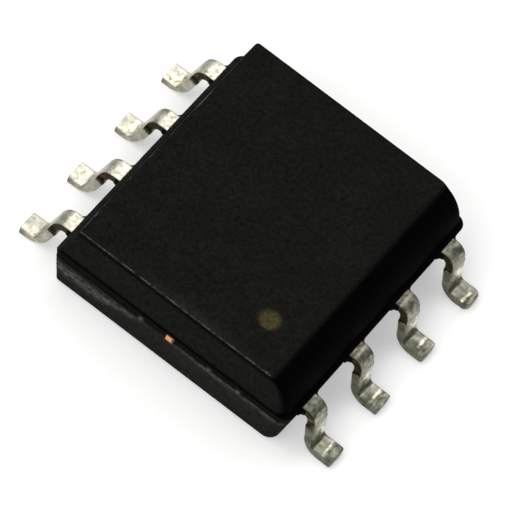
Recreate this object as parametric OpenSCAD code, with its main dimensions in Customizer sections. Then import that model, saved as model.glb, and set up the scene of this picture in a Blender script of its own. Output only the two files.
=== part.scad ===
// Analog-to-digital converter in an eight-lead small-outline package, in millimetres.
// The origin is the middle of the seating plane: +X runs across the two lead rows, +Y along them and +Z up.
// Lead 1 stands at the -X, +Y corner. Leads 1 to 4 run down the -X row, and 5 to 8 come back up the +X row.

/* [Moulded body] */
// Width of the body at its parting line
body_w = 4.46; // [4.3:0.02:4.7]
// Length of the body at its parting line
body_l = 5; // [4.86:0.02:5.2]
// Height of the upper half, above the lead frame
upper_h = 0.625; // [0.55:0.005:0.75]
// Height of the lower half, which holds the lead frame at its top
lower_h = 0.87; // [0.8:0.01:0.95]
// Gap between the underside of the body and the board
standoff = 0.05; // [0.04:0.01:0.25]
// Draft angle of the upper half's long sides, in degrees
side_draft = 12; // [8:1:14]
// Draft angle of the upper half's ends, in degrees
end_draft = 8; // [5:1:14]
// Draft angle of the lower half's walls, in degrees
lower_draft = 9; // [6:1:14]
// Width of the ledge that the lower half leaves along the long sides
side_ledge = 0.08; // [0.04:0.01:0.12]
// Width of the ledge that the lower half leaves along the ends
end_ledge = 0.03; // [0.02:0.01:0.1]
// Corner radius of the body on its plain side
corner_r = 0.05; // [0.03:0.01:0.12]
// Corner radius of the body on its bevelled side
bevel_corner_r = 0.2; // [0.1:0.01:0.3]
// Width that the lead 1 bevel takes off the top face, up to the edge that the roundings soften
bevel = 0.36; // [0.25:0.01:0.4]
// Slope of the lead 1 bevel, in degrees from level
bevel_slope = 33; // [28:1:40]
// Share of the bevel's slope that rounds over into the top face
bevel_top = 0.16; // [0.05:0.01:0.18]
// Share of the bevel's slope, or of the wall under it if that is shorter, that rounds over into the wall
bevel_foot = 0.8; // [0.3:0.05:0.8]

/* [Moulded marks] */
// Diameter of the dimple that marks lead 1
dimple_d = 0.43; // [0.3:0.01:0.6]
// Depth of the dimple
dimple_depth = 0.04; // [0.02:0.01:0.08]
// Distance from the body's long side to the dimple's middle
dimple_side = 1.19; // [0.95:0.01:1.4]
// Distance from the body's end to the dimple's middle
dimple_end = 0.92; // [0.7:0.01:1.2]
// Diameter of the ejector marks under the body
mark_d = 0.8; // [0.5:0.05:1]
// Depth of the ejector marks
mark_depth = 0.03; // [0.02:0.01:0.06]
// Distance between the two ejector marks
mark_spacing = 2.4; // [1.4:0.1:3]

/* [Leads] */
// Distance between neighbouring leads of a row
pitch = 1.27; // [1.2:0.01:1.3]
// Width of a lead's foot
lead_w = 0.38; // [0.32:0.01:0.46]
// Width of a lead's finger and of its neck, where the dam bar was trimmed off
neck_w = 0.36; // [0.28:0.01:0.44]
// Thickness of the lead frame
frame_t = 0.16; // [0.14:0.005:0.2]
// Flat run of a lead from the body to its shoulder bend
shoulder = 0.08; // [0.05:0.01:0.2]
// Inner radius of the shoulder bend
shoulder_r = 0.08; // [0.05:0.01:0.1]
// Lean of the leg, in degrees from upright
leg_lean = 15; // [10:1:25]
// Inner radius of the heel bend
heel_r = 0.2; // [0.12:0.01:0.25]
// Flat length of the foot
foot = 0.16; // [0.06:0.01:0.6]
// How far the stubs of the trimmed dam bar stand out of the leg's sides
stub = 0.045; // [0.01:0.005:0.08]
// Distance from the shoulder bend down to the stubs
stub_drop = 0.1; // [0.05:0.01:0.12]

/* [Lead frame inside the body] */
// Length of a lead's finger from the body's side to its tip
finger_l = 0.86; // [0.76:0.02:1]
// Straight length of a finger before it turns to its bond post
neck_l = 0.28; // [0.2:0.01:0.36]
// Length of a bond post
post_l = 0.3; // [0.2:0.02:0.4]
// Width of a bond post
post_w = 0.52; // [0.44:0.02:0.7]
// Distance between neighbouring bond posts of a row
post_pitch = 0.9; // [0.8:0.02:1.1]
// Gap between the finger tips and the paddle
finger_gap = 0.2; // [0.1:0.02:0.3]
// Drop of the paddle below the leads
downset = 0.2; // [0.12:0.01:0.3]
// Corner radius of the paddle
paddle_r = 0.12; // [0.05:0.01:0.3]
// Length of a tie bar from the paddle to the body's end
tie_l = 1.04; // [0.8:0.02:1.2]
// Width of a tie bar
tie_w = 0.15; // [0.12:0.01:0.4]
// Flat stretch of a tie bar beside the paddle
tie_flat = 0.12; // [0.08:0.01:0.2]
// Length over which a tie bar climbs from the paddle to the leads
tie_climb = 0.28; // [0.2:0.02:0.45]

/* [Die and wires] */
// Width of the die, across the lead rows
die_w = 1.6; // [1.2:0.05:1.9]
// Length of the die, along the lead rows
die_l = 2; // [1.7:0.05:2.4]
// Thickness of the die
die_t = 0.25; // [0.18:0.01:0.3]
// Thickness of the adhesive under the die
attach_t = 0.03; // [0.02:0.005:0.05]
// Width of adhesive squeezed out round the die
attach_rim = 0.06; // [0.03:0.01:0.15]
// Distance from the die's edge to the middle of its bond pads
pad_inset = 0.1; // [0.08:0.01:0.2]
// Distance between neighbouring bond pads
pad_pitch = 0.5; // [0.4:0.02:0.55]
// Diameter of a bond wire
wire_d = 0.03; // [0.02:0.005:0.04]
// Height of a wire's loop above the die
loop_h = 0.16; // [0.1:0.01:0.22]
// Diameter of the bonded ball on the die
ball_d = 0.085; // [0.07:0.005:0.12]
// Height of the bonded ball
ball_h = 0.025; // [0.02:0.005:0.04]
// Diameter of the stitch on the bond post
stitch_d = 0.075; // [0.06:0.005:0.1]
// Height of the stitch
stitch_h = 0.02; // [0.015:0.005:0.03]

/* [Hidden] */
$fn = 48;
ROW = 4;
LEADS = 2 * ROW;
WIRE_SIDES = 8;
WIRE_STEPS = 9;
// How much higher than a wire's crest its two upper control points stand
CREST_PULL = 4 / 3;
OVERCUT = 0.5;
// How far a rounding's circle stands out of the faces that it joins, so that it meets them at clear edges
ROUND_OUT = 0.0005;
// Share of a bend's angle drawn in the frame of each straight part that it joins, so that the two shares overlap
BEND_SHARE = 0.6;

ledge_z = standoff + lower_h;
frame_z = ledge_z - frame_t;
upper_w = body_w - 2 * side_ledge;
upper_l = body_l - 2 * end_ledge;

bevel_x = upper_w / 2 - upper_h * tan(side_draft) - bevel;
bevel_drop = bevel * tan(bevel_slope) / (1 - tan(bevel_slope) * tan(side_draft));
bevel_run = bevel_drop / sin(bevel_slope);
wall_run = (upper_h - bevel_drop) / cos(side_draft);

bend_x = body_w / 2 + shoulder;
shoulder_out = shoulder_r + frame_t;
shoulder_z = ledge_z - shoulder_out;
heel_z = heel_r + frame_t;
bend_part = BEND_SHARE * (90 - leg_lean);
leg_l = (shoulder_z - heel_z + (shoulder_out + heel_r) * sin(leg_lean)) / cos(leg_lean);

tip_x = body_w / 2 - finger_l;
post_x = tip_x + post_l / 2;
neck_x = body_w / 2 - neck_l;

paddle_w = 2 * (tip_x - finger_gap);
paddle_l = body_l - 2 * tie_l;
paddle_z = frame_z - downset;
attach_z = paddle_z + frame_t;
die_z = attach_z + attach_t;
die_top = die_z + die_t;
pad_x = die_w / 2 - pad_inset;

// Which row a lead stands in: -1 or 1
function side(i) = i <= ROW ? -1 : 1;

// Place of a lead along its row, in steps from the middle
function row_step(i) = i <= ROW ? (ROW + 1) / 2 - i : i - ROW - (ROW + 1) / 2;

function unit(v) = v / norm(v);
function mix(a, b, t) = a + (b - a) * t;

// Point on a cubic curve with four control points
function curve_point(c, t) =
    let (
        p = mix(c[0], c[1], t),
        q = mix(c[1], c[2], t),
        r = mix(c[2], c[3], t)
    )
    mix(mix(p, q, t), mix(q, r, t), t);

// Offset from a path's point to the mitred edge of a strip along it
function strip_offset(path, i, w) =
    let (
        last = len(path) - 1,
        before = unit(path[max(i, 1)] - path[max(i, 1) - 1]),
        after = unit(path[min(i + 1, last)] - path[min(i + 1, last) - 1]),
        along = unit(before + after)
    )
    w / 2 / (along * before) * [-along.y, along.x];

// Outline of a strip of even width along a path
function strip(path, w) = concat(
    [for (i = [0 : len(path) - 1]) path[i] + strip_offset(path, i, w)],
    [for (i = [len(path) - 1 : -1 : 0]) path[i] - strip_offset(path, i, w)]
);

// Rectangle with round corners, about the origin
module round_plate(w, l, r) {
    square([w - 2 * r, l], center = true);
    square([w, l - 2 * r], center = true);
    for (x = [-1, 1], y = [-1, 1])
        translate([x * (w / 2 - r), y * (l / 2 - r)])
            circle(r);
}

// Plan of the moulding, whose corners are rounder on the bevelled side
module moulded_plan(w, l) {
    intersection() {
        translate([-OVERCUT / 2, 0])
            round_plate(w + OVERCUT, l, corner_r);
        translate([OVERCUT / 2, 0])
            round_plate(w + OVERCUT, l, bevel_corner_r);
    }
}

// Half of the moulding: a block with drafted walls that stands on its widest face, with round corners there
module drafted_half(w, l, h, side_angle, end_angle) {
    intersection() {
        linear_extrude(h)
            moulded_plan(w, l);
        rotate([90, 0, 0])
            linear_extrude(l + OVERCUT, center = true)
                drafted_section(w, h, h * tan(side_angle));
        rotate([90, 0, 90])
            linear_extrude(w + OVERCUT, center = true)
                drafted_section(l, h, h * tan(end_angle));
    }
}

module drafted_section(w, h, inset) {
    polygon([[-w / 2, 0], [w / 2, 0], [w / 2 - inset, h], [inset - w / 2, h]]);
}

// What a rounding takes off an edge at the origin, where a level face turns down by an angle. It starts at the
// same distance from the edge on both faces.
module rounding(distance, turn) {
    r = distance / tan(turn / 2);
    along = [cos(turn), -sin(turn)];
    out = [sin(turn), cos(turn)];
    difference() {
        polygon([[-distance, 0], [-distance, OVERCUT], distance * along + OVERCUT * out, distance * along]);
        translate([-distance, -r])
            circle(r + ROUND_OUT);
    }
}

// What the lead 1 bevel takes off the upper half: a plane that rounds into the top face and into the wall
module bevel_cut() {
    reach = bevel_drop / tan(bevel_slope);
    past = OVERCUT * tan(bevel_slope);
    translate([-bevel_x, 0, upper_h])
        rotate([90, 0, 180])
            linear_extrude(upper_l + OVERCUT, center = true) {
                polygon([[-OVERCUT, past], [reach + OVERCUT, past], [reach + OVERCUT, -bevel_drop - past]]);
                rounding(bevel_top * bevel_run, bevel_slope);
                translate([reach, -bevel_drop])
                    rotate(-bevel_slope)
                        rounding(bevel_foot * min(bevel_run, wall_run), 90 - side_draft - bevel_slope);
            }
}

module dimple_cut() {
    translate([dimple_side - body_w / 2, body_l / 2 - dimple_end, upper_h - dimple_depth])
        cylinder(h = dimple_depth + OVERCUT, d = dimple_d);
}

module ejector_cuts() {
    for (y = [-1, 1])
        translate([0, y * mark_spacing / 2, lower_h - mark_depth])
            cylinder(h = mark_depth + OVERCUT, d = mark_d);
}

module moulding() {
    translate([0, 0, ledge_z])
        difference() {
            drafted_half(upper_w, upper_l, upper_h, side_draft, end_draft);
            bevel_cut();
            dimple_cut();
        }
    translate([0, 0, ledge_z])
        mirror([0, 0, 1])
            difference() {
                drafted_half(body_w, body_l, lower_h, lower_draft, lower_draft);
                ejector_cuts();
            }
}

// The body fills all the room round the lead frame, the die and the wires
module mold_body() {
    color("#262624")
        difference() {
            moulding();
            for (i = [1 : LEADS])
                lead_flat(i);
            die_paddle();
            die_attach();
            silicon_die();
            for (i = [1 : LEADS])
                bond_wire(i);
        }
}

// Part of a ring as thick as the lead frame, between two angles
module bend(r, from, to) {
    reach = 2 * (r + frame_t);
    difference() {
        intersection() {
            circle(r + frame_t);
            polygon([[0, 0], for (a = [from, (from + to) / 2, to]) reach * [cos(a), sin(a)]]);
        }
        circle(r);
    }
}

// Side view of a lead's flat run and the start of its shoulder bend, about the middle of that bend
module shoulder_section() {
    translate([-shoulder, shoulder_r])
        square([shoulder, frame_t]);
    bend(shoulder_r, 90 - bend_part, 90);
}

// Side view of the rest of the neck, leaning with the leg, down to the heel
module neck_section() {
    bend(shoulder_r, 0, bend_part);
    translate([shoulder_r, -leg_l])
        square([frame_t, leg_l]);
}

// Side view of a lead from its stubs down to its toe, leaning with the leg
module foot_section() {
    translate([shoulder_r, -leg_l])
        square([frame_t, leg_l - stub_drop]);
    translate([shoulder_out + heel_r, -leg_l]) {
        bend(heel_r, 180, 180 + bend_part);
        rotate(-leg_lean) {
            bend(heel_r, 270 - bend_part, 270);
            translate([0, -heel_z])
                square([foot, frame_t]);
        }
    }
}

// Face view of the leg between its stubs, which taper off down to the heel
module stub_face() {
    half = lead_w / 2;
    polygon([[-half, -leg_l], [half, -leg_l], [half + stub, -stub_drop], [-half - stub, -stub_drop]]);
}

// The flat part of a lead: its bond post, its finger and its shoulder
module lead_flat(i) {
    y = row_step(i) * pitch;
    post_y = row_step(i) * post_pitch;
    mirror([side(i) < 0 ? 1 : 0, 0, 0])
        translate([0, 0, frame_z])
            linear_extrude(frame_t) {
                polygon(strip([[post_x, post_y], [neck_x, y], [bend_x, y]], neck_w));
                translate([post_x, post_y])
                    square([post_l, post_w], center = true);
            }
}

// A lead: past its flat part, all that follows the shoulder bend leans with the leg
module lead(i) {
    color("#cfcbb8") {
        lead_flat(i);
        mirror([side(i) < 0 ? 1 : 0, 0, 0])
            translate([bend_x, row_step(i) * pitch, shoulder_z])
                rotate([90, 0, 0]) {
                    linear_extrude(neck_w, center = true)
                        shoulder_section();
                    rotate([0, 0, leg_lean]) {
                        linear_extrude(neck_w, center = true)
                            neck_section();
                        linear_extrude(lead_w, center = true)
                            foot_section();
                        translate([shoulder_r, 0, 0])
                            rotate([0, 90, 0])
                                linear_extrude(frame_t)
                                    stub_face();
                    }
                }
    }
}

// The die's plate, with a tie bar that climbs to the lead frame at each end
module die_paddle() {
    mid_z = paddle_z + frame_t / 2;
    climb_y = paddle_l / 2 + tie_flat;
    tie = [
        [paddle_l / 2 - tie_flat, mid_z],
        [climb_y, mid_z],
        [climb_y + tie_climb, mid_z + downset],
        [body_l / 2, mid_z + downset]
    ];
    color("#b9733f") {
        translate([0, 0, paddle_z])
            linear_extrude(frame_t)
                round_plate(paddle_w, paddle_l, paddle_r);
        for (end = [0, 1])
            mirror([0, end, 0])
                rotate([90, 0, 90])
                    linear_extrude(tie_w, center = true)
                        polygon(strip(tie, frame_t));
    }
}

module die_attach() {
    color("#a3a39c")
        translate([0, 0, attach_z])
            linear_extrude(attach_t)
                round_plate(die_w + 2 * attach_rim, die_l + 2 * attach_rim, attach_rim);
}

module silicon_die() {
    color("#59616b")
        translate([-die_w / 2, -die_l / 2, die_z])
            cube([die_w, die_l, die_t]);
}

// Points of one round of a wire, square to its path, where across is the level direction over it
function wire_ring(path, i, across) =
    let (
        last = len(path) - 1,
        before = unit(path[max(i, 1)] - path[max(i, 1) - 1]),
        after = unit(path[min(i + 1, last)] - path[min(i + 1, last) - 1]),
        along = unit(before + after),
        up = cross(along, across) / (along * before)
    )
    [
        for (k = [0 : WIRE_SIDES - 1])
            let (a = k * 360 / WIRE_SIDES)
            path[i] + wire_d / 2 * (cos(a) * across + sin(a) * up)
    ];

// A wire along a path that stays in one upright plane
module wire_tube(path) {
    n = WIRE_SIDES;
    last = len(path) - 1;
    reach = path[last] - path[0];
    across = unit([-reach.y, reach.x, 0]);
    polyhedron(
        points = [for (i = [0 : last]) each wire_ring(path, i, across)],
        faces = concat(
            [[for (k = [0 : n - 1]) k]],
            [[for (k = [n - 1 : -1 : 0]) last * n + k]],
            [
                for (i = [0 : last - 1], k = [0 : n - 1])
                    [i * n + k, i * n + n + k, i * n + n + (k + 1) % n, i * n + (k + 1) % n]
            ]
        )
    );
}

// A wire rises from its ball on the die, loops over and comes down to its stitch on the bond post
module bond_wire(i) {
    pad = [side(i) * pad_x, row_step(i) * pad_pitch, die_top];
    post = [side(i) * post_x, row_step(i) * post_pitch, ledge_z];
    pull_z = die_top + loop_h * CREST_PULL;
    control = [
        pad + [0, 0, ball_h / 2],
        [pad.x, pad.y, pull_z],
        [(pad.x + post.x) / 2, (pad.y + post.y) / 2, pull_z],
        post + [0, 0, wire_d / 2]
    ];
    color("#e0b64a") {
        translate(pad)
            cylinder(h = ball_h, d = ball_d);
        translate(post)
            cylinder(h = stitch_h, d = stitch_d);
        wire_tube([for (k = [0 : WIRE_STEPS]) curve_point(control, k / WIRE_STEPS)]);
    }
}

mold_body();
for (i = [1 : LEADS])
    lead(i);
die_paddle();
die_attach();
silicon_die();
for (i = [1 : LEADS])
    bond_wire(i);
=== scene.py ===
# Looks of an analog-to-digital converter chip: fine meshes for the moulded body and the leads, materials,
# soft studio light and the photograph's camera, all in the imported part's own frame.
import math
from collections import namedtuple

import bmesh
import bpy
from mathutils import Matrix, Vector, noise


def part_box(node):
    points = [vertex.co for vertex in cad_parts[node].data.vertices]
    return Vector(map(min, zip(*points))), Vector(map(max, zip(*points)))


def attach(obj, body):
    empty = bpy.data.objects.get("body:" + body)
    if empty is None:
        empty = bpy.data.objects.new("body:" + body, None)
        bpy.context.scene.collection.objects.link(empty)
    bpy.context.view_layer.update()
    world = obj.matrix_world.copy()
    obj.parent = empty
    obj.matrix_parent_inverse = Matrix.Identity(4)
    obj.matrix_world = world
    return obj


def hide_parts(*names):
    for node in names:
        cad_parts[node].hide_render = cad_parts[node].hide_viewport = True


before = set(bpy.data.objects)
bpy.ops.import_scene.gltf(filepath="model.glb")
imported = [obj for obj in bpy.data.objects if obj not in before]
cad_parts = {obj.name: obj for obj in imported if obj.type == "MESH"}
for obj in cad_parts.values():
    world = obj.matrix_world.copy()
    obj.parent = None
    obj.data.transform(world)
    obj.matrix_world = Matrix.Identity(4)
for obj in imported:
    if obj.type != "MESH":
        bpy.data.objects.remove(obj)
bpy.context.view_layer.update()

MM = 0.001

# Places read from the frame, in millimetres
body_low, body_high = [[v / MM for v in corner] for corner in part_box("mold_body")]
lead_high = [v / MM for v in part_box("lead_5")[1]]
SIDE_X, END_Y = body_high[0], body_high[1]
BOTTOM_Z, TOP_Z = body_low[2], body_high[2]
LEDGE_Z, TOE_X = lead_high[2], lead_high[0]

# Lead frame: leads in all and in a row, then pitch and thickness in millimetres
LEADS = 8
ROW = 4
PITCH = 1.27
FRAME_T = 0.16

# Moulded body, in millimetres. A slope is the run for each unit of height, the bevel's angle is in radians,
# and the bevel's two roundings are shares of the faces that they take up.
LOWER_SLOPE = math.tan(math.radians(9))
SIDE_SLOPE = math.tan(math.radians(12))
END_SLOPE = math.tan(math.radians(8))
UPPER_X = SIDE_X - 0.08
UPPER_Y = END_Y - 0.03
BEVEL = 0.36
BEVEL_ANGLE = math.radians(33)
BEVEL_TOP, BEVEL_FOOT = 0.16, 0.8
BAND_Z = LEDGE_Z - FRAME_T
BAND_INSET = 0.012
BOTTOM_FILLET = 0.014
LEDGE_FILLET = 0.01
TOP_FILLET = 0.014
DIMPLE_X, DIMPLE_Y = 1.19 - SIDE_X, END_Y - 0.92
DIMPLE_R, DIMPLE_DEPTH, DIMPLE_WALL = 0.215, 0.04, 0.09
MARK_Y = 1.2
MARK_R, MARK_DEPTH, MARK_WALL = 0.4, 0.03, 0.04
WEB = 0.07
WEB_ROOT = 0.03
WEB_LOW, WEB_HIGH = LEDGE_Z - FRAME_T + 0.015, LEDGE_Z - 0.012
TEAR_OUT, ROUGH_IN = 0.008, 0.006

# Corner radii of the body's plan, in millimetres: on the bevelled side, beside lead 8 and beside lead 5
UPPER_R = (0.2, 0.05, 0.12)
LOWER_R = (0.2, 0.05, 0.2)
TOP_R = (0.06, 0.02, 0.06)

# Mesh of the body: steps round each ring, rings in each stretch, and insets and gaps in millimetres
END_STEPS, SIDE_STEPS, CORNER_STEPS = 170, 90, 10
LOWER_RINGS, BAND_RINGS, UPPER_RINGS = 28, 7, 34
BOTTOM_FILLET_RINGS, LEDGE_FILLET_RINGS, TOP_FILLET_RINGS = 5, 3, 6
MARK_STEPS, MARK_RINGS = 64, 8
WEB_STEPS = 8
BOTTOM_RIM = 0.06
RING_GAP = 0.02
RIM_EDGE = 0.003
SEAM_RISE, WALL_RISE = 0.012, 0.04
TOP_EDGE, TOP_RIM, FIELD_RIM = TOP_FILLET + 0.012, TOP_FILLET + 0.05, 0.22

# Greys of the epoxy, with painted shade and light, and strength of its pale wear and painted highlights
TOP_TONE = 0.0074
# Painted shade: the bevelled side's wall, ledge and lower wall are darker, as that side faces away from the
# light
WALL_TONE, BEVEL_SHADE_TONE = 0.0078, 0.0002
# A dark seam line in the corner over the ledge, deepened with painted shade
SEAM_SHADE_TONE = 0.001
LEDGE_TONE, SHADED_LEDGE_TONE = 0.0015, 0.001
LOWER_TONE, RIM_TONE, SHADED_LOWER_TONE = 0.0088, 0.0128, 0.003
# Painted light: a highlight at the corner beside lead 4, and light on the ledges of the plain side
LIT_TONE = 0.012
WEB_TONE = 0.002
# Painted highlights on the top edges of the plain side and the near end, painted sheen on the top, pale
# specks
SIDE_EDGE_HIGHLIGHT, END_EDGE_HIGHLIGHT, TOP_SHEEN, SPECK_WEAR = 0.5, 0.6, 0.07, 0.9
SPECKS_X = (0.56, -0.74, -1.3)
FACING = 0.7

# Leads, in millimetres and radians. The photograph shows the two rows bent differently, so some values have
# the key 1 for the row on +X and the key -1 for the row on -X.
NECK_W = 0.36
FOOT_W = 0.38
SHOULDER = {1: 0.1, -1: 0.05}
SHOULDER_R = 0.08
HEEL_R = 0.2
HEEL_CREASE_R = 0.08
LEAN = {1: math.radians(15), -1: math.radians(10)}
STUB = {1: 0.045, -1: 0.02}
STUB_DROP = 0.1
STUB_EDGE = 0.002
BURIED_END, NECK_START = 0.02, 0.004
BURR_R = 0.012
ROLL_R = 0.05
EDGE_W = 0.02
SINK = 0.006
DENT, FINE_DENT = 0.004, 0.002
DENTED_ABOVE = 0.06
TOE_EDGE, TOE_SHRINK = 0.006, 0.008
FINGER_L = 0.86
NECK_L = 0.28
FINGER_LAP = 0.01
POST_L, POST_W, POST_PITCH = 0.3, 0.52, 0.9

# Toe corners by lead in millimetres, round as the photograph shows them
TOE_R = {1: 0.04, 2: 0.03, 3: 0.06, 4: 0.12}
CRISP_TOE_R = 0.02

# Steps of the leads' meshes, along and round
BURIED_STEPS, SHOULDER_STEPS, BEND_STEPS = 6, 8, 16
LEG_STEPS, HEEL_STEPS, FOOT_STEPS = 12, 24, 16
ROLL_STEPS, FACE_STEPS, CUT_STEPS = 5, 14, 4

# Plating: each painted glint on a foot of the row in painted shade, as its place along the foot and the side
# that it keeps to, the painted sheen of each lead in the lit row, and the strength of the scuffs by row
GLINT = {1: (0.18, -0.5), 2: (0.17, -0.8), 3: (0.18, -0.7), 4: (0.42, 0.9)}
SHEEN = {5: 1.45, 6: 1.35, 7: 1.3, 8: 1.1}
SCUFF = {1: 0.0, -1: 1.2}

# Clean copper in the middle of the tie bars' cut ends, in millimetres
CORE_X, CORE_Z = 0.04, LEDGE_Z - FRAME_T / 2
CORE_REACH_X, CORE_REACH_Z = 0.06, 0.04
CORE_DEPTH = 0.1
SMEAR_BLUR = 0.03


# Mesh helpers

def spread(start, stop, count):
    """count + 1 even steps from start to stop."""
    return [start + (stop - start) * k / count for k in range(count + 1)]


def lerp(a, b, t):
    return a + (b - a) * t


def between(value, low, high):
    """Share of the way from low to high, kept within 0 and 1."""
    return max(0.0, min(1.0, (value - low) / (high - low)))


def bell(value, middle, width):
    """1 at the middle, falling off smoothly on both sides."""
    return math.exp(-((value - middle) / width) ** 2)


def noise_at(x, y, z, seed=0.0):
    return noise.noise(Vector((x, y, z + seed)))


def add_loop(bm, points):
    """New vertices at points in millimetres."""
    return [bm.verts.new((p[0] * MM, p[1] * MM, p[2] * MM)) for p in points]


def bridge(bm, low, high):
    """Quads between two closed loops of the same count."""
    count = len(low)
    for k in range(count):
        n = (k + 1) % count
        bm.faces.new((low[k], low[n], high[n], high[k]))


def fill(bm, loops):
    """Triangles over a flat face, with every loop after the first as a hole."""
    edges = []
    for loop in loops:
        for pair in zip(loop, loop[1:] + loop[:1]):
            edges.append(bm.edges.get(pair) or bm.edges.new(pair))
    bmesh.ops.triangle_fill(bm, use_beauty=True, use_dissolve=False, edges=edges)


def finish_mesh(bm, name, material):
    """A smooth-shaded object in the scene."""
    bmesh.ops.recalc_face_normals(bm, faces=bm.faces)
    for face in bm.faces:
        face.smooth = True
    mesh = bpy.data.meshes.new(name)
    bm.to_mesh(mesh)
    bm.free()
    mesh.materials.append(material)
    piece = bpy.data.objects.new(name, mesh)
    bpy.context.scene.collection.objects.link(piece)
    return piece


# Material helpers

class Shader:
    """A node material with one Principled shader."""

    def __init__(self, name, **inputs):
        self.material = bpy.data.materials.new(name)
        self.material.use_nodes = True
        self.nodes = self.material.node_tree.nodes
        self.principled = self.nodes["Principled BSDF"]
        for key, value in inputs.items():
            self.principled.inputs[key.replace("_", " ")].default_value = value
        self.place = self.node("ShaderNodeTexCoord").outputs["Object"]

    def node(self, kind, **settings):
        made = self.nodes.new(kind)
        for key, value in settings.items():
            setattr(made, key, value)
        return made

    def link(self, source, target):
        self.material.node_tree.links.new(source, target)

    def noise(self, scale_per_mm, detail, rough=0.55):
        made = self.node("ShaderNodeTexNoise")
        made.inputs["Scale"].default_value = scale_per_mm / MM
        made.inputs["Detail"].default_value = detail
        made.inputs["Roughness"].default_value = rough
        self.link(self.place, made.inputs["Vector"])
        return made.outputs["Fac"]

    def axes(self):
        made = self.node("ShaderNodeSeparateXYZ")
        self.link(self.place, made.inputs["Vector"])
        return made.outputs

    def away(self, axis, middle_mm, reach_mm):
        """0 within a reach of a place on one axis, and 1 a little further out."""
        distance = self.math("ABSOLUTE", self.math("SUBTRACT", axis, middle_mm * MM), 0.0)
        return self.ramp(distance, reach_mm * MM, (reach_mm + SMEAR_BLUR) * MM, 0.0, 1.0)

    def attribute(self, name):
        return self.node("ShaderNodeAttribute", attribute_name=name).outputs["Fac"]

    def ramp(self, source, low, high, start, stop):
        """Maps a value's range from low to high onto the range from start to stop."""
        made = self.node("ShaderNodeMapRange")
        for key, value in (("From Min", low), ("From Max", high), ("To Min", start), ("To Max", stop)):
            made.inputs[key].default_value = value
        self.link(source, made.inputs["Value"])
        return made.outputs["Result"]

    def math(self, operation, a, b):
        made = self.node("ShaderNodeMath", operation=operation)
        for socket, value in zip(made.inputs, (a, b)):
            if isinstance(value, (int, float)):
                socket.default_value = value
            else:
                self.link(value, socket)
        return made.outputs["Value"]

    def mix(self, factor, a, b):
        made = self.node("ShaderNodeMix", data_type="RGBA")
        self.link(factor, made.inputs["Factor"])
        for socket, value in ((made.inputs[6], a), (made.inputs[7], b)):
            if isinstance(value, tuple):
                socket.default_value = (*value, 1.0)
            else:
                self.link(value, socket)
        return made.outputs[2]

    def scale(self, colour, value):
        """A colour times a value."""
        made = self.node("ShaderNodeVectorMath", operation="SCALE")
        made.inputs[0].default_value = colour
        self.link(value, made.inputs["Scale"])
        return made.outputs["Vector"]

    def bump(self, height, strength, distance_mm):
        made = self.node("ShaderNodeBump")
        made.inputs["Strength"].default_value = strength
        made.inputs["Distance"].default_value = distance_mm * MM
        self.link(height, made.inputs["Height"])
        self.link(made.outputs["Normal"], self.principled.inputs["Normal"])

    def set(self, key, source):
        self.link(source, self.principled.inputs[key])


def epoxy():
    """Black moulded epoxy: its lightness is in the mesh with painted shade and light, with fine mottle, pale
    torn and worn moulding and painted highlights in the same pale colour, and an olive dimple."""
    tint, pale = (1.0, 1.0, 0.84), (0.16, 0.155, 0.13)
    deep_olive, light_olive = (0.030, 0.028, 0.012), (0.064, 0.058, 0.026)
    s = Shader("mold_epoxy", Specular_IOR_Level=0.02)
    mottle = s.ramp(s.noise(15, 3, 0.7), 0.3, 0.7, 0.6, 1.45)
    cloud = s.ramp(s.noise(1.6, 3), 0.3, 0.7, 0.9, 1.1)
    tone = s.math("MULTIPLY", s.attribute("tone"), s.math("MULTIPLY", mottle, cloud))
    dark = s.scale(tint, tone)
    grain = s.ramp(s.noise(30, 4, 0.7), 0.35, 0.65, 0.3, 1.0)
    # The pale share holds worn epoxy and painted highlights
    wear_and_highlight = s.math("MULTIPLY", s.attribute("wear_and_highlight"), grain)
    olive = s.mix(s.ramp(s.noise(18, 3), 0.35, 0.65, 0.0, 1.0), deep_olive, light_olive)
    s.set("Base Color", s.mix(s.attribute("olive"), s.mix(wear_and_highlight, dark, pale), olive))
    s.set("Roughness", s.ramp(mottle, 0.6, 1.45, 0.75, 0.6))
    s.bump(s.noise(34, 4, 0.7), 0.25, 0.012)
    return s.material


def tin():
    """Matte tin plating: its lightness is in the mesh, painted light and shade included, as the rows are lit
    and shaded copies, with grain, patches and olive specks. Copper is bared where the dam bar was trimmed."""
    dark, pale, olive = (0.053, 0.063, 0.035), (0.97, 0.945, 0.81), (0.46, 0.40, 0.19)
    black_copper, brown_copper = (0.018, 0.015, 0.005), (0.12, 0.085, 0.035)
    s = Shader("tin_plate", Metallic=1.0)
    grain = s.noise(30, 4, 0.7)
    patch = s.noise(8, 4, 0.65)
    shade = s.math("MULTIPLY", s.ramp(patch, 0.35, 0.62, 0.55, 1.05), s.ramp(grain, 0.3, 0.6, 0.6, 1.05))
    shade = s.math("MULTIPLY", shade, s.attribute("tone"))
    plate = s.mix(shade, dark, pale)
    specks = s.ramp(s.noise(12, 3, 0.6), 0.52, 0.64, 0.0, 0.75)
    plate = s.mix(s.math("MULTIPLY", specks, shade), plate, olive)
    trim = s.mix(s.ramp(s.noise(10, 3), 0.52, 0.7, 0.0, 1.0), black_copper, brown_copper)
    s.set("Base Color", s.mix(s.attribute("bare"), plate, trim))
    s.set("Roughness", s.ramp(grain, 0.3, 0.7, 0.3, 0.45))
    s.bump(patch, 0.5, 0.02)
    return s.material


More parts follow.
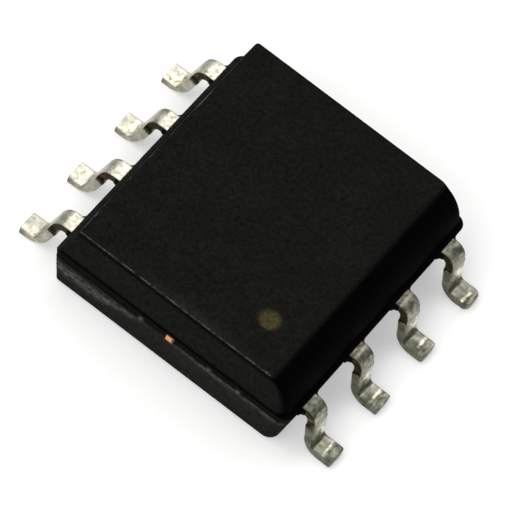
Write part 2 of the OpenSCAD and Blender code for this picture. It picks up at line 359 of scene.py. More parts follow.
def copper():
    """Bare copper alloy with the grain of its cut, and moulding smeared over the rims of the cut ends."""
    smear = (0.07, 0.03, 0.014)
    s = Shader("copper_frame", Metallic=1.0)
    grain = s.noise(16, 4, 0.6)
    clean = s.mix(grain, (0.62, 0.27, 0.10), (0.86, 0.44, 0.19))
    x, y, z = s.axes()
    rim = s.math("MAXIMUM", s.away(x, CORE_X, CORE_REACH_X), s.away(z, CORE_Z, CORE_REACH_Z))
    at_end = s.away(y, 0.0, END_Y - CORE_DEPTH)
    s.set("Base Color", s.mix(s.math("MULTIPLY", rim, at_end), clean, smear))
    s.set("Roughness", s.ramp(grain, 0.3, 0.7, 0.34, 0.5))
    s.bump(grain, 0.2, 0.01)
    return s.material


def adhesive():
    """Silver-filled epoxy with its flakes."""
    s = Shader("silver_adhesive", Metallic=0.35)
    flakes = s.noise(40, 4, 0.7)
    s.set("Base Color", s.mix(flakes, (0.5, 0.5, 0.47), (0.72, 0.72, 0.69)))
    s.set("Roughness", s.ramp(flakes, 0.3, 0.7, 0.45, 0.65))
    return s.material


def silicon():
    """Polished silicon with a faint tint from its layers."""
    s = Shader("silicon", Metallic=0.6)
    cloud = s.noise(2.5, 3)
    s.set("Base Color", s.mix(cloud, (0.26, 0.29, 0.34), (0.34, 0.35, 0.42)))
    s.set("Roughness", s.ramp(cloud, 0.3, 0.7, 0.12, 0.2))
    return s.material


def gold():
    """Drawn gold wire."""
    s = Shader("gold_wire", Metallic=1.0)
    grain = s.noise(30, 3)
    s.set("Base Color", s.mix(grain, (0.78, 0.56, 0.2), (0.92, 0.72, 0.3)))
    s.set("Roughness", s.ramp(grain, 0.3, 0.7, 0.2, 0.3))
    return s.material


# Moulded body

RingPoint = namedtuple("RingPoint", "x y z out_x out_y")


def mix_radii(a, b, t):
    return tuple(lerp(p, q, t) for p, q in zip(a, b))


def plan_ring(z, minus, plus, y, radii):
    """Closed loop of points round the body at one height, from its reach on -X, on +X and at the ends, and
    its three corner radii."""
    r_minus, r_plus, r_far = radii
    corners = (
        (plus - r_plus, y - r_plus, r_plus, 0), (r_minus - minus, y - r_minus, r_minus, 90),
        (r_minus - minus, r_minus - y, r_minus, 180), (plus - r_far, r_far - y, r_far, 270),
    )
    steps = (END_STEPS, SIDE_STEPS, END_STEPS, SIDE_STEPS)
    ring = []
    for k, (cx, cy, r, start) in enumerate(corners):
        for a in spread(start, start + 90, CORNER_STEPS):
            c, s = math.cos(math.radians(a)), math.sin(math.radians(a))
            ring.append(RingPoint(cx + r * c, cy + r * s, z, c, s))
        next_x, next_y, next_r, next_start = corners[(k + 1) % 4]
        c, s = math.cos(math.radians(next_start)), math.sin(math.radians(next_start))
        last = ring[-1]
        end_x, end_y = next_x + next_r * c, next_y + next_r * s
        for t in spread(0, 1, steps[k])[1:-1]:
            ring.append(RingPoint(lerp(last.x, end_x, t), lerp(last.y, end_y, t), z, c, s))
    return ring


def lower_half(z):
    """Reach of the lower half at a height: on both sides and at the ends."""
    drop = (LEDGE_Z - z) * LOWER_SLOPE
    return SIDE_X - drop, END_Y - drop


def bevel_arcs():
    """The bevel's upper edge, its two roundings as (centre x, centre z, radius, lowest z), and the height
    where the lower rounding starts."""
    height = TOP_Z - LEDGE_Z
    edge = UPPER_X - height * SIDE_SLOPE - BEVEL
    drop = BEVEL * math.tan(BEVEL_ANGLE) / (1 - math.tan(BEVEL_ANGLE) * SIDE_SLOPE)
    run = drop / math.sin(BEVEL_ANGLE)
    draft = math.atan(SIDE_SLOPE)
    top_t = BEVEL_TOP * run
    top_r = top_t / math.tan(BEVEL_ANGLE / 2)
    foot_t = BEVEL_FOOT * min(run, (height - drop) / math.cos(draft))
    foot_r = foot_t / math.tan((math.pi / 2 - draft - BEVEL_ANGLE) / 2)
    along = (run - foot_t) * math.cos(BEVEL_ANGLE), (run - foot_t) * math.sin(BEVEL_ANGLE)
    foot_x = edge + along[0] - foot_r * math.sin(BEVEL_ANGLE)
    foot_z = TOP_Z - along[1] - foot_r * math.cos(BEVEL_ANGLE)
    top_arc = (edge - top_t, TOP_Z - top_r, top_r, TOP_Z - top_t * math.sin(BEVEL_ANGLE))
    foot_arc = (foot_x, foot_z, foot_r, foot_z + foot_r * math.sin(draft))
    return edge, top_arc, foot_arc, TOP_Z - along[1]


BEVEL_EDGE, TOP_ARC, FOOT_ARC, FOOT_START = bevel_arcs()


def on_arc(arc, z):
    return arc[0] + math.sqrt(max(0.0, arc[2] ** 2 - (z - arc[1]) ** 2))


def bevelled_side(z):
    """Reach of the bevelled side at a height: wall, rounding, slope and rounding into the top face."""
    if z > TOP_ARC[3]:
        return on_arc(TOP_ARC, z)
    if z > FOOT_START:
        return BEVEL_EDGE + (TOP_Z - z) / math.tan(BEVEL_ANGLE)
    if z > FOOT_ARC[3]:
        return on_arc(FOOT_ARC, z)
    return UPPER_X - (z - LEDGE_Z) * SIDE_SLOPE


def upper_half(z):
    """Reach of the upper half at a height: on the bevelled side, on the plain side and at the ends."""
    rise = z - LEDGE_Z
    return bevelled_side(z), UPPER_X - rise * SIDE_SLOPE, UPPER_Y - rise * END_SLOPE


def lower_rings():
    """Rings of the lower half, each with its region, from the underside up to the rim below the frame."""
    x, y = lower_half(BOTTOM_Z)
    rings = [("bottom", plan_ring(BOTTOM_Z, x - BOTTOM_RIM, x - BOTTOM_RIM, y - BOTTOM_RIM, LOWER_R))]
    for a in spread(0, 90, BOTTOM_FILLET_RINGS):
        z = BOTTOM_Z + BOTTOM_FILLET * (1 - math.cos(math.radians(a)))
        inset = BOTTOM_FILLET * (1 - math.sin(math.radians(a)))
        x, y = lower_half(z)
        rings.append(("lower", plan_ring(z, x - inset, x - inset, y - inset, LOWER_R)))
    for z in spread(BOTTOM_Z + BOTTOM_FILLET + RING_GAP, BAND_Z - RING_GAP, LOWER_RINGS):
        x, y = lower_half(z)
        rings.append(("lower", plan_ring(z, x, x, y, LOWER_R)))
    x, y = lower_half(BAND_Z)
    for z, inset in ((BAND_Z - 2 * RIM_EDGE, 0.0), (BAND_Z, RIM_EDGE), (BAND_Z + RIM_EDGE, BAND_INSET)):
        rings.append(("rim", plan_ring(z, x, x, y - inset, LOWER_R)))
    return rings


def ledge_rings():
    """Rings of the band beside the lead frame, of its lip, and of the ledge in to the upper half."""
    rings = []
    for z in spread(BAND_Z + RING_GAP, LEDGE_Z - LEDGE_FILLET, BAND_RINGS):
        x, y = lower_half(z)
        rings.append(("band", plan_ring(z, x, x, y - BAND_INSET, LOWER_R)))
    for a in spread(0, 90, LEDGE_FILLET_RINGS)[1:]:
        inset = LEDGE_FILLET * (1 - math.cos(math.radians(a)))
        z = LEDGE_Z - LEDGE_FILLET * (1 - math.sin(math.radians(a)))
        x, y = SIDE_X - inset, END_Y - BAND_INSET - inset
        rings.append(("lip", plan_ring(z, x, x, y, LOWER_R)))
    for region, t in (("ledge", 0.35), ("ledge", 0.7), ("seam", 1.0)):
        x = lerp(SIDE_X - LEDGE_FILLET, UPPER_X, t)
        y = lerp(END_Y - BAND_INSET - LEDGE_FILLET, UPPER_Y, t)
        rings.append((region, plan_ring(LEDGE_Z, x, x, y, mix_radii(LOWER_R, UPPER_R, t))))
    return rings


def upper_rings():
    """Rings of the upper half, from the seam above the ledge up to the middle field of the top face."""
    rings = []
    wall_top = TOP_Z - TOP_FILLET
    levels = [("seam", LEDGE_Z + SEAM_RISE)]
    levels += [("upper", z) for z in spread(LEDGE_Z + WALL_RISE, wall_top, UPPER_RINGS)]
    for region, z in levels:
        minus, plus, y = upper_half(z)
        radii = mix_radii(UPPER_R, TOP_R, (z - LEDGE_Z) / (wall_top - LEDGE_Z))
        rings.append((region, plan_ring(z, minus, plus, y, radii)))
    for a in spread(0, 90, TOP_FILLET_RINGS)[1:]:
        inset = TOP_FILLET * (1 - math.cos(math.radians(a)))
        z = wall_top + TOP_FILLET * math.sin(math.radians(a))
        minus, plus, y = upper_half(z)
        rings.append(("edge", plan_ring(z, minus, plus - inset, y - inset, TOP_R)))
    minus, plus, y = upper_half(TOP_Z)
    for region, inset in (("top", TOP_EDGE), ("top", TOP_RIM), ("field", FIELD_RIM)):
        rings.append((region, plan_ring(TOP_Z, minus - inset, plus - inset, y - inset, TOP_R)))
    return rings


def scar_height(x):
    """Height of the torn scar along the near end: it falls away from the parting line towards lead 8."""
    return BAND_Z - 0.06 - 0.2 * between(x, 0.5, 1.4) + 0.04 * noise_at(x * 6, 0, 0, 3)


def wall_tone(p, shaded_side):
    """Grey of the upper walls: painted shade under the near edge, just above the ledge and on the bevelled
    side, and a painted highlight at the corner beside lead 4."""
    # Painted shade under the rounded near top edge and in the corner just above the ledge
    under_edge = bell(p.z, TOP_Z - 0.055, 0.035) * max(p.out_y, 0)
    above_ledge = between(p.z, LEDGE_Z + 0.01, LEDGE_Z + 0.06)
    near_ledge = between(p.z, LEDGE_Z + 0.2, LEDGE_Z + 0.06)
    wall = WALL_TONE * (1 - 0.95 * under_edge) * lerp(0.1, 1.0, above_ledge)
    # Painted shade: the bevelled side falls to near black just below its top edge
    dark = lerp(TOP_TONE, BEVEL_SHADE_TONE, between(p.z, TOP_Z - 0.004, TOP_Z - 0.04))
    # Painted highlight on the rounded corner beside lead 4, just above the ledge
    lit_corner = LIT_TONE * bell(p.out_y, -0.6, 0.3) * shaded_side * near_ledge
    return lerp(wall, dark, min(1.0, 1.4 * shaded_side)) + lit_corner


def lower_tone(p, shaded_side):
    """Grey of the lower walls: lighter towards the rim, dark on the near end above the scar, and in painted
    shade on the bevelled side.
    """
    ragged = 0.05 * noise_at(p.x * 8, p.z * 4, 0, 15)
    scar_z = scar_height(p.x)
    above_scar = between(p.z, scar_z + 0.03 + ragged, scar_z + 0.09 + ragged)
    shaded = above_scar * between(p.x, 0.3, 0.8) * max(p.out_y, 0)
    tone = lerp(LOWER_TONE, RIM_TONE, between(p.z, BOTTOM_Z, BAND_Z)) * lerp(1.0, 0.35, shaded)
    return lerp(tone, SHADED_LOWER_TONE, shaded_side)


def tone_of(region, p):
    """Grey of the epoxy: the top is dull, the bevelled side is darkest, in painted shade, the ends are
    lighter, and the ledges of the plain side carry painted light.
    """
    # Share of painted shade, on faces turned towards -X, away from the light
    shaded_side = max(-p.out_x, 0)
    if region in ("top", "field", "bottom", "edge"):
        return TOP_TONE
    # Dark seam line with painted shade in the corner over the ledge
    if region == "seam":
        return SEAM_SHADE_TONE
    if region == "upper":
        return wall_tone(p, shaded_side)
    if region in ("band", "lip", "ledge"):
        # Painted light on the ledges of the plain side, which faces the light
        return lerp(LEDGE_TONE, SHADED_LEDGE_TONE, shaded_side) + LIT_TONE * max(p.out_x, 0)
    return lower_tone(p, shaded_side)


def torn_end(region, x, z):
    """Pale wear on the near end: a torn scar beside lead 8, the torn rim of the lower half beside lead 1, and
    specks at the parting line."""
    chips = 0.55 + 0.8 * noise_at(x * 9, z * 12, 0, 5) + 0.5 * noise_at(x * 25, z * 25, 0, 9)
    torn = between(chips, 0.0, 1.0)
    scar = 0.0
    if region == "lower":
        wide = between(x, 0.6, 1.3)
        scar = bell(z, scar_height(x), 0.035 + 0.1 * wide) * between(x, 0.4, 0.7) * lerp(0.9, 1.0, wide)
    rim = 0.0
    if region in ("lower", "rim"):
        patchy = 0.65 + 0.5 * noise_at(x * 5, 0, 0, 12)
        rim = bell(z, BAND_Z - 0.03, 0.05) * between(x, 0.1, -0.4) * patchy
    specks = sum(bell(x, at, 0.035) * bell(z, BAND_Z + 0.01, 0.05) for at in SPECKS_X)
    return between(max(scar * torn, rim * torn, SPECK_WEAR * specks), 0.0, 1.0)


def wear_and_highlight_of(region, p):
    """Share of pale colour: painted highlights on the upper edges of the plain side and the near end, a
    painted sheen on the top face by the near edge, and pale worn epoxy on that end.
    """
    # Painted highlights along the top edge of the plain side, in patches
    if region == "edge" and p.out_x > FACING:
        patches = noise_at(0, p.y * 1.7, 0, 21) + 0.5 * noise_at(0, p.y * 9, 0, 8)
        return SIDE_EDGE_HIGHLIGHT * between(patches, 0.0, 0.6)
    if p.out_y < FACING or region == "field":
        return 0.0
    # Painted highlight along the near top edge, broken in patches
    if region == "edge":
        patches = noise_at(p.x * 6, 0, 0, 4) + 0.7 * noise_at(p.x * 21, 0, 0, 8)
        return END_EDGE_HIGHLIGHT * between(patches, -0.6, 0.6)
    # Painted sheen on the top face by the near edge
    if region == "top":
        return TOP_SHEEN * bell(p.x, -0.1, 0.9)
    return torn_end(region, p.x, p.z)


def worn_place(region, p, pale):
    """Place of a ring's point, moved out where the epoxy is torn and in where the ledge is rough."""
    shift = TEAR_OUT * pale if region in ("lower", "rim") else 0.0
    if region in ("lip", "ledge", "rim"):
        shift -= ROUGH_IN * abs(noise_at(p.x * 14, p.y * 14, p.z * 14))
    return p.x + p.out_x * shift, p.y + p.out_y * shift, p.z


def ring_at(bm, cx, cy, z, r):
    angles = spread(0, 2 * math.pi, MARK_STEPS)[:-1]
    return add_loop(bm, [(cx + r * math.cos(a), cy + r * math.sin(a), z) for a in angles])


def pressed_mark(bm, cx, cy, z, r, depth, wall):
    """A shallow round mark in a level face, with a soft wall. Returns its rings from the rim to the floor."""
    rings = []
    for t in spread(0, 1, MARK_RINGS):
        fall = t * t * (3 - 2 * t)
        rings.append(ring_at(bm, cx, cy, z - depth * fall, r - wall * t))
        if len(rings) > 1:
            bridge(bm, rings[-2], rings[-1])
    fill(bm, [rings[-1]])
    return rings


def add_web(bm, side, edge_y, turn):
    """A thin web of epoxy in the angle between a side of the body and one edge of a lead's neck."""
    outline = []
    for a in spread(0, math.pi / 2, WEB_STEPS):
        out, along = WEB * (1 - math.sin(a)), WEB * (1 - math.cos(a))
        outline.append((side * (SIDE_X + out), edge_y + turn * along))
    outline.append((side * (SIDE_X - WEB_ROOT), edge_y + turn * WEB))
    outline.append((side * (SIDE_X - WEB_ROOT), edge_y - turn * WEB_ROOT))
    outline.append((side * (SIDE_X + WEB), edge_y - turn * WEB_ROOT))
    low = add_loop(bm, [(x, y, WEB_LOW) for x, y in outline])
    high = add_loop(bm, [(x, y, WEB_HIGH) for x, y in outline])
    bridge(bm, low, high)
    bm.faces.new(low)
    bm.faces.new(high)
    return low + high


def add_webs(bm):
    """The webs beside every neck. Returns their vertices."""
    made = []
    for side in (-1, 1):
        for k in range(ROW):
            for turn in (-1, 1):
                edge_y = (k - (ROW - 1) / 2) * PITCH + turn * NECK_W / 2
                made += add_web(bm, side, edge_y, turn)
    return made


def build_body(material):
    """The moulding, whose mesh holds its greys with painted shade and light, its pale wear and painted
    highlights, and the olive tint of the dimple.
    """
    bm = bmesh.new()
    tone = bm.verts.layers.float.new("tone")
    # Share of pale colour: worn epoxy and painted highlights
    wear_and_highlight = bm.verts.layers.float.new("wear_and_highlight")
    olive = bm.verts.layers.float.new("olive")
    loops = []
    for region, ring in lower_rings() + ledge_rings() + upper_rings():
        # Shares of pale colour at each point, for wear and painted highlights
        wear = [wear_and_highlight_of(region, p) for p in ring]
        loop = add_loop(bm, [worn_place(region, p, pale) for p, pale in zip(ring, wear)])
        for vert, p, pale in zip(loop, ring, wear):
            vert[tone] = tone_of(region, p)
            vert[wear_and_highlight] = pale
        loops.append(loop)
    for low, high in zip(loops, loops[1:]):
        bridge(bm, low, high)
    marks = [pressed_mark(bm, 0, y, BOTTOM_Z, MARK_R, -MARK_DEPTH, MARK_WALL)[0] for y in (-MARK_Y, MARK_Y)]
    fill(bm, [loops[0]] + marks)
    dimple = pressed_mark(bm, DIMPLE_X, DIMPLE_Y, TOP_Z, DIMPLE_R, DIMPLE_DEPTH, DIMPLE_WALL)
    for k, ring in enumerate(dimple):
        for vert in ring:
            vert[olive] = between(k, 0, MARK_RINGS - 1)
    fill(bm, [loops[-1], dimple[0]])
    for vert in bm.verts:
        if vert[tone] == 0:
            vert[tone] = TOP_TONE
    for vert in add_webs(bm):
        vert[tone] = WEB_TONE
    return finish_mesh(bm, "molded_body", material)


# Leads

Station = namedtuple("Station", "x z heading width bare part t")


def lead_stations(side):
    """Stations along a lead's middle line: distance out, height, heading below level, half width, share of
    bare copper on the cut sides, part of the lead and place along that part."""
    half = FRAME_T / 2
    lean = LEAN[side]
    turn = math.pi / 2 - lean
    bend_x = SIDE_X + SHOULDER[side]
    shoulder_z = LEDGE_Z - SHOULDER_R - FRAME_T
    reach = SHOULDER_R + FRAME_T + HEEL_R
    leg = (shoulder_z - HEEL_R - FRAME_T + reach * math.sin(lean)) / math.cos(lean)
    neck, wide, toe = NECK_W / 2, FOOT_W / 2 + STUB[side], FOOT_W / 2
    stations = []
    for x in spread(SIDE_X - NECK_L, SIDE_X - BURIED_END, BURIED_STEPS):
        stations.append(Station(x, LEDGE_Z - half - SINK, 0.0, neck, 1.0, "shoulder", 0.0))
    for t in spread(0, 1, SHOULDER_STEPS):
        x = lerp(SIDE_X - NECK_START, bend_x, t)
        stations.append(Station(x, LEDGE_Z - half, 0.0, neck, 1.0, "shoulder", t))
    mid_r = SHOULDER_R + half
    for t in spread(0, 1, BEND_STEPS)[1:]:
        a = turn * t
        x, z = bend_x + mid_r * math.sin(a), shoulder_z + mid_r * math.cos(a)
        stations.append(Station(x, z, a, neck, 1.0, "bend", t))
    bent = stations[-1]
    dx, dz = math.cos(turn), -math.sin(turn)
    for d, width, bare in leg_run(leg, neck, wide, toe):
        stations.append(Station(bent.x + dx * d, bent.z + dz * d, turn, width, bare, "leg", d / leg))
    mid_r = HEEL_R + half
    heel_x, heel_z = bent.x + dx * leg + mid_r * math.sin(turn), FRAME_T + HEEL_R
    for t in spread(0, 1, HEEL_STEPS)[1:]:
        a = turn * (1 - t)
        x, z = heel_x - mid_r * math.sin(a), heel_z - mid_r * math.cos(a)
        stations.append(Station(x, z, a, toe, 0.0, "heel", t))
    for t in spread(0, 1, FOOT_STEPS)[1:]:
        stations.append(Station(lerp(heel_x, TOE_X - TOE_EDGE, t), half, 0.0, toe, 0.0, "foot", t))
    stations.append(stations[-1]._replace(x=TOE_X))
    return stations


def leg_run(leg, neck, wide, toe):
    """Steps down a leg, as (distance, half width, share of bare copper): the neck, then the dam bar's stubs,
    which taper off down to the heel."""
    run = [(STUB_DROP * t - 3 * STUB_EDGE, neck, 1.0) for t in (0.3, 0.6, 1.0)]
    run.append((STUB_DROP - STUB_EDGE, lerp(neck, wide, 0.35), 0.9))
    run.append((STUB_DROP + STUB_EDGE, lerp(neck, wide, 0.9), 0.6))
    for t in spread(0, 1, LEG_STEPS):
        run.append((lerp(STUB_DROP + 4 * STUB_EDGE, leg, t), lerp(wide, toe, t), 0.2 * (1 - t)))
    return run


def heel_fill(side, part, a):
    """Shift of the upper face in the heel bend, which is pressed into a tighter curve than the lower face."""
    if part != "heel":
        return 0.0, 0.0
    middle = (math.pi / 2 - LEAN[side]) / 2
    back = HEEL_R - HEEL_CREASE_R
    grow = back / math.cos(middle)
    return back * math.sin(a) - grow * math.sin(middle), back * math.cos(a) - grow * math.cos(middle)


def toe_rounding(number, x):
    """What the round corners of the toe take off a lead's half width at a distance out."""
    r = TOE_R.get(number, CRISP_TOE_R)
    into = max(0.0, x - TOE_X + r)
    return r - math.sqrt(max(0.0, r * r - into * into))


def lit_row_tone(number, part, t, wave):
    """Painted light and shade on the upper face of a lead in the lit row: pale where it faces the light, and
    grey down the leg, in painted shade.
    """
    tones = {
        "shoulder": 0.95, "bend": lerp(0.95, 0.32, between(t, 0.38, 0.56)), "leg": 0.34,
        "heel": lerp(0.34, 1.0, between(t, 0.0, 0.2)), "foot": lerp(1.0, 0.9, between(t, 0.0, 0.25)),
    }
    return tones[part] * SHEEN[number] * (1 + 0.5 * wave)


def shaded_row_tone(number, part, t, share, wave):
    """Lightness of an upper face in the row in painted shade: a painted reflection lightens the lower leg,
    painted shade darkens the crease at the heel and the start of the foot, and a painted glint crosses the
    foot with the painted shadow of a ridge beyond it. The share runs across the face."""
    if part == "heel":
        # Painted reflection on the upper bend of the heel, then painted shade in its crease
        pale = lerp(0.6, 0.12, between(t, 0.05, 0.25))
        return lerp(pale, 0.38, between(t, 0.55, 0.9)) * (1 + wave)
    if part == "foot":
        place, nearer = GLINT[number]
        # Painted glint across the foot
        painted_glint = bell(t, place + 0.12 * wave, 0.085) * between(wave + nearer * share, -0.4, 0.15)
        # Painted shadow of a ridge beyond the glint
        ridge = 1 - 0.6 * bell(t, place + 0.22 + 0.15 * wave, 0.06)
        rest = lerp(0.26, 0.13, between(share, 0.3, 1.0)) * (1 + 1.7 * wave) * ridge
        # Painted shade at the start of the foot, beside the crease
        return lerp(rest * between(t, -0.12, 0.12), 1.7, painted_glint)
    if part == "leg":
        # Painted reflection of the floor near the foot of the leg
        return lerp(0.23, 1.3, bell(t, 0.8 + 0.1 * wave, 0.3))
    return 0.27 * (1 + 0.8 * wave)


def side_tone(side, part, t, wave):
    """Lightness of the plating's cut sides: dark on the row in painted shade, and on the lit row a painted
    reflection, lightest down the leg and dark at the toe.
    """
    if side < 0:
        return 0.11 * (1 + 1.3 * wave)
    tones = {
        "shoulder": 0.3, "bend": 0.3, "leg": 0.5,
        "heel": lerp(0.5, 0.36, t), "foot": lerp(0.32, 0.1, t),
    }
    return tones[part] * (1 + 0.35 * wave)


def lead_section(half_w, half_t):
    """Section of a lead as (across, above its middle, edge share): crisp edges above, rolled edges below."""
    corners = (
        (1, 1, BURR_R, 0, FACE_STEPS), (-1, 1, BURR_R, 90, CUT_STEPS),
        (-1, -1, ROLL_R, 180, FACE_STEPS), (1, -1, ROLL_R, 270, CUT_STEPS),
    )
    arcs = []
    for sx, sz, r, start, steps in corners:
        cx, cz = sx * (half_w - r), sz * (half_t - r)
        angles = [math.radians(a) for a in spread(start, start + 90, ROLL_STEPS)]
        arcs.append([(cx + r * math.cos(a), cz + r * math.sin(a)) for a in angles])
    section = []
    for k, arc in enumerate(arcs):
        section += [(w, n, 1.0) for w, n in arc]
        (w0, n0), (w1, n1) = arc[-1], arcs[(k + 1) % 4][0]
        edge = EDGE_W / math.dist((w0, n0), (w1, n1))
        for t in spread(edge, 1 - edge, corners[k][4]):
            section.append((lerp(w0, w1, t), lerp(n0, n1, t), 0.0))
    return section


def lead_place(number, side, at, along, w, n):
    """Place of a section's point, with y from the lead's middle, after the dents and the heel's crease."""
    dent = DENT * noise_at(along * 9, w * 7, number * 5)
    dent += FINE_DENT * noise_at(along * 24, w * 24, number * 5)
    rise = n - abs(dent) if n > DENTED_ABOVE else n
    lift = max(0.0, 2 * n / FRAME_T)
    fill_x, fill_z = heel_fill(side, at.part, at.heading)
    out = at.x + math.sin(at.heading) * rise + fill_x * lift
    return side * out, w, at.z + math.cos(at.heading) * rise + fill_z * lift


def plating(number, side, at, half_w, along, point):
    """Share of bare copper, and lightness of the plating with its painted light and shade, at a point of a
    lead's section.
    """
    w, n, edge = point
    wave = noise_at(along * 7, w * 5, number * 7, 2) + 0.4 * noise_at(along * 19, w * 15, number * 7, 6)
    scuff = SCUFF[side] * noise_at(along * 26, w * 11, number * 7, 11)
    flank = between(abs(w) - half_w, -0.012, -0.002)
    rubbed = 0.75 * between(wave, -0.3, 0.4) if side < 0 and at.part == "shoulder" else 0.0
    # Painted light on the +X row and painted shade on the -X row, which are lit and shaded copies of one
    # plating
    if side > 0:
        face = lit_row_tone(number, at.part, at.t, wave)
    else:
        face = shaded_row_tone(number, at.part, at.t, w / half_w, wave)
    # Painted shade along the rounded edges of the upper face
    face = face * lerp(1.0, 0.4, edge if n > 0 else 0.0) * (1 + scuff)
    tone = lerp(face, side_tone(side, at.part, at.t, wave), flank)
    return max(at.bare * flank, rubbed), max(0.0, tone)


def build_lead(number, material):
    """A lead, whose mesh holds the lightness of its plating, painted light and shade included, and where
    copper is bare.
    """
    side = -1 if number <= ROW else 1
    step = (ROW + 1) / 2 - number if number <= ROW else number - ROW - (ROW + 1) / 2
    row_y = step * PITCH
    bm = bmesh.new()
    tone = bm.verts.layers.float.new("tone")
    bare = bm.verts.layers.float.new("bare")
    stations = lead_stations(side)
    loops = []
    along = 0.0
    before = stations[0]
    for at in stations:
        along += math.dist((at.x, at.z), (before.x, before.z))
        before = at
        half_w = at.width - toe_rounding(number, at.x)
        shrink = TOE_SHRINK if at is stations[-1] else 0.0
        section = lead_section(half_w - shrink, FRAME_T / 2 - shrink)
        places = [lead_place(number, side, at, along, w, n) for w, n, edge in section]
        loop = add_loop(bm, [(x, row_y + y, z) for x, y, z in places])
        for vert, point in zip(loop, section):
            vert[bare], vert[tone] = plating(number, side, at, half_w, along, point)
        loops.append(loop)
    bm.faces.new(loops[0])
    for low, high in zip(loops, loops[1:]):
        bridge(bm, low, high)
    bm.faces.new(loops[-1])
    add_finger(bm, side, row_y, step * POST_PITCH)
    piece = finish_mesh(bm, f"plated_lead_{number}", material)
    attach(piece, "root")
    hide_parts(f"lead_{number}")


def add_finger(bm, side, row_y, post_y):
    """The flat finger and bond post inside the body."""
    neck_x = SIDE_X - NECK_L
    tip_x = SIDE_X - FINGER_L
    slope = (row_y - post_y) / (neck_x - tip_x - POST_L / 2)
    half = NECK_W / 2
    root_x, post_x = neck_x + FINGER_LAP, tip_x + POST_L
    shoulder_y = post_y + slope * POST_L / 2
    outline = [
        (root_x, row_y - half), (root_x, row_y + half), (post_x, shoulder_y + half),
        (post_x, post_y + POST_W / 2), (tip_x, post_y + POST_W / 2), (tip_x, post_y - POST_W / 2),
        (post_x, post_y - POST_W / 2), (post_x, shoulder_y - half),
    ]
    low = add_loop(bm, [(side * x, y, LEDGE_Z - FRAME_T) for x, y in outline])
    high = add_loop(bm, [(side * x, y, LEDGE_Z - SINK) for x, y in outline])
    bridge(bm, low, high)
    bm.faces.new(low)
    bm.faces.new(high)


# Pieces

body = build_body(epoxy())
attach(body, "root")
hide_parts("mold_body")

tin_material = tin()
for number in range(1, LEADS + 1):
    build_lead(number, tin_material)

looks = {"die_paddle": copper(), "die_attach": adhesive(), "silicon_die": silicon()}
gold_material = gold()
for number in range(1, LEADS + 1):
    looks[f"bond_wire_{number}"] = gold_material
for name, material in looks.items():
    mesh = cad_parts[name].data
    mesh.materials.clear()
    mesh.materials.append(material)


# Studio: floor, world, lamps and camera

FLOOR_R = 0.2
FLOOR_GLOW = 0.37
WORLD_LEVEL = 0.3
TARGET = Vector((0.061, -0.17, 0.072)) * MM


def seen_directly(nodes, links):
    """1 for rays from the camera, from metal and through glass, otherwise 0."""
    path = nodes.new("ShaderNodeLightPath")
    total = path.outputs["Is Camera Ray"]
    for name in ("Is Glossy Ray", "Is Transmission Ray"):
        add = nodes.new("ShaderNodeMath")
        add.operation = "MAXIMUM"
        links.new(total, add.inputs[0])
        links.new(path.outputs[name], add.inputs[1])
        total = add.outputs["Value"]
    return total


def build_floor():
    """Pale floor that glows a little where it is seen directly, so that it is white and keeps the shadow."""
    bm = bmesh.new()
    bmesh.ops.create_circle(bm, cap_ends=True, segments=96, radius=FLOOR_R)
    s = Shader("pale_floor", Specular_IOR_Level=0.0, Roughness=1.0)
    s.set("Base Color", s.mix(s.noise(0.05, 2), (0.68, 0.68, 0.68), (0.70, 0.70, 0.70)))
    s.principled.inputs["Emission Color"].default_value = (1, 1, 1, 1)
    seen = seen_directly(s.nodes, s.material.node_tree.links)
    s.set("Emission Strength", s.math("MULTIPLY", seen, FLOOR_GLOW))
    floor = finish_mesh(bm, "floor", s.material)


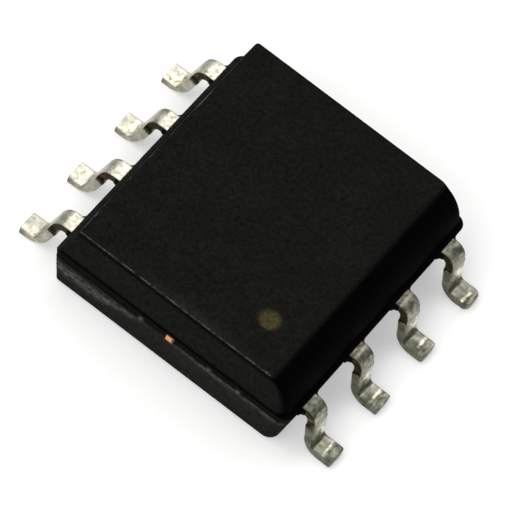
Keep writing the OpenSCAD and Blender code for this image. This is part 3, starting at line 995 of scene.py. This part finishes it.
def build_world():
    """Grey surroundings, and white behind the floor's edge."""
    world = bpy.data.worlds.new("studio")
    bpy.context.scene.world = world
    world.use_nodes = True
    nodes, links = world.node_tree.nodes, world.node_tree.links
    background = nodes["Background"]
    path = nodes.new("ShaderNodeLightPath")
    level = nodes.new("ShaderNodeMath")
    level.operation = "MAXIMUM"
    links.new(path.outputs["Is Camera Ray"], level.inputs[0])
    level.inputs[1].default_value = WORLD_LEVEL
    background.inputs["Color"].default_value = (1, 1, 1, 1)
    links.new(level.outputs["Value"], background.inputs["Strength"])


def add_softbox(name, direction, distance_mm, size_mm, level, colour=(1, 1, 1)):
    """Square lamp that adds level to the light on a white surface which faces it."""
    lamp = bpy.data.lights.new(name, "AREA")
    lamp.shape = "SQUARE"
    lamp.size = size_mm * MM
    lamp.energy = level * (math.pi * distance_mm * MM) ** 2
    lamp.color = colour
    holder = bpy.data.objects.new(name, lamp)
    out = Vector(direction).normalized()
    holder.location = out * distance_mm * MM
    holder.rotation_euler = out.to_track_quat("Z", "Y").to_euler()
    holder.visible_camera = False
    bpy.context.scene.collection.objects.link(holder)


def build_camera(azimuth, elevation, roll, distance_mm, focal_px, image_px):
    """Camera placed by its angles round the target, rolled about its own axis."""
    a, e, r = (math.radians(v) for v in (azimuth, elevation, roll))
    back = Vector((math.sin(a) * math.cos(e), -math.cos(a) * math.cos(e), math.sin(e)))
    level = Vector((0, 0, 1)).cross(back).normalized()
    upright = back.cross(level)
    right = math.cos(r) * level + math.sin(r) * upright
    up = back.cross(right)
    camera = bpy.data.objects.new("camera", bpy.data.cameras.new("camera"))
    camera.data.sensor_width = 36
    camera.data.lens = focal_px / image_px * camera.data.sensor_width
    camera.data.clip_start = 0.005
    camera.data.clip_end = 1
    camera.matrix_world = Matrix((right, up, back)).transposed().to_4x4()
    camera.location = TARGET + back * distance_mm * MM
    bpy.context.scene.collection.objects.link(camera)
    bpy.context.scene.camera = camera


build_floor()
build_world()
add_softbox("top", (0.136, -0.547, 0.826), distance_mm=80, size_mm=90, level=0.4)
add_softbox("key", (0.42, 0.28, 0.86), distance_mm=80, size_mm=60, level=0.52, colour=(1.0, 0.99, 0.97))
add_softbox("fill", (0.05, 0.85, 0.52), distance_mm=90, size_mm=80, level=0.45)
build_camera(azimuth=194.377, elevation=55.665, roll=25.155, distance_mm=102, focal_px=6600, image_px=508)
bpy.context.scene.view_settings.view_transform = "Standard"
